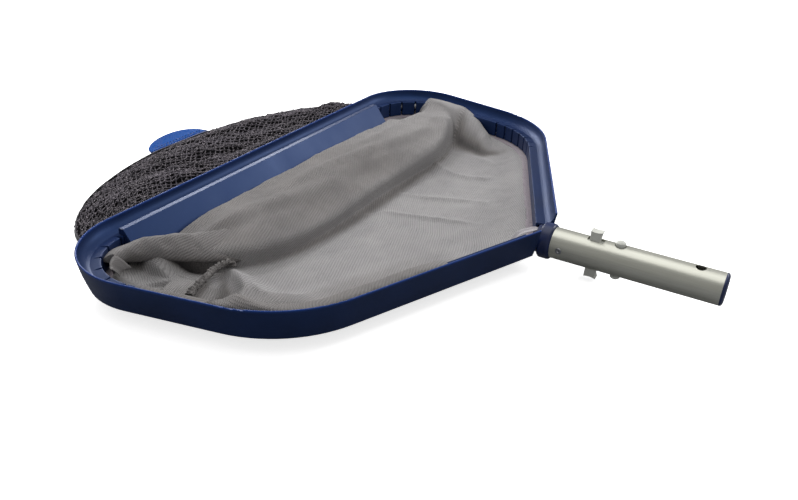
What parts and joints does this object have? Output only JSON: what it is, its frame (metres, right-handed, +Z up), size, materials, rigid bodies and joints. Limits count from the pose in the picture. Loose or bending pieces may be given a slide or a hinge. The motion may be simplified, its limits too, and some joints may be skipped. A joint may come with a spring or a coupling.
{
  "type": "leaf skimmer net",
  "caption": "Pool leaf net: notched rim bent round an aluminium rod, double mesh bag with pull tab, and a tube handle with a spring clip for a pole.",
  "frame": {"origin": "on the handle tube's axis at the collar face, where a pole pushed over the handle stops", "axes": "+X along the handle from the collar to its free end, +Z up out of the net's mouth"},
  "size_m": [0.6536, 0.5694, 0.0481],
  "materials": {
    "rim_plastic": "satin navy blue extruded plastic",
    "collar_plastic": "satin navy blue moulded plastic",
    "rod_aluminium": "mill finish",
    "rivet_aluminium": "plain",
    "tube_aluminium": "satin anodised, champagne silver",
    "clip_plastic": "moulded light grey",
    "tab_plastic": "flexible, bright blue",
    "cord": "braided polyester",
    "hem_fabric": "woven tape",
    "fine_mesh": "fine knitted mesh, warm grey",
    "coarse_net": "coarse knotted net, charcoal",
    "binding": "woven binding",
    "thread": "sewing thread"
  },
  "bodies": {
    "frame": {"rim_profile": "rim_plastic", "front_bar_cover": "rim_plastic", "frame_rod": "rod_aluminium", "hem_cord": "cord", "hem_tape": "hem_fabric", "neck_yoke": "collar_plastic", "neck_rivet": "rivet_aluminium", "handle_tube": "tube_aluminium", "handle_end_bush": "collar_plastic", "clip_bridge": "clip_plastic", "outer_net": "coarse_net", "inner_net": "fine_mesh", "seam_binding": "binding"},
    "clip_upper": {"clip_arm_upper": "clip_plastic"},
    "clip_lower": {"clip_arm_lower": "clip_plastic"},
    "tab": {"pull_tab": "tab_plastic", "tab_stitches": "thread"}
  },
  "joints": [
    {"name": "upper_clip_press", "type": "hinge", "parent": "frame", "child": "clip_upper", "pos_m": [0.021, 0, 0.0101], "axis": [0, 1, 0], "range_deg": [0, 6.5], "stiffness_Nm_per_rad": 1.4},
    {"name": "lower_clip_press", "type": "hinge", "parent": "frame", "child": "clip_lower", "pos_m": [0.021, 0, -0.0101], "axis": [0, -1, 0], "range_deg": [0, 6.5], "stiffness_Nm_per_rad": 1.4},
    {"name": "pull_tab_flap", "type": "hinge", "parent": "frame", "child": "tab", "pos_m": [-0.4834, 0.029, -0.019], "axis": [0, 1, 0], "range_deg": [-15, 55], "stiffness_Nm_per_rad": 0.02}
  ]
}
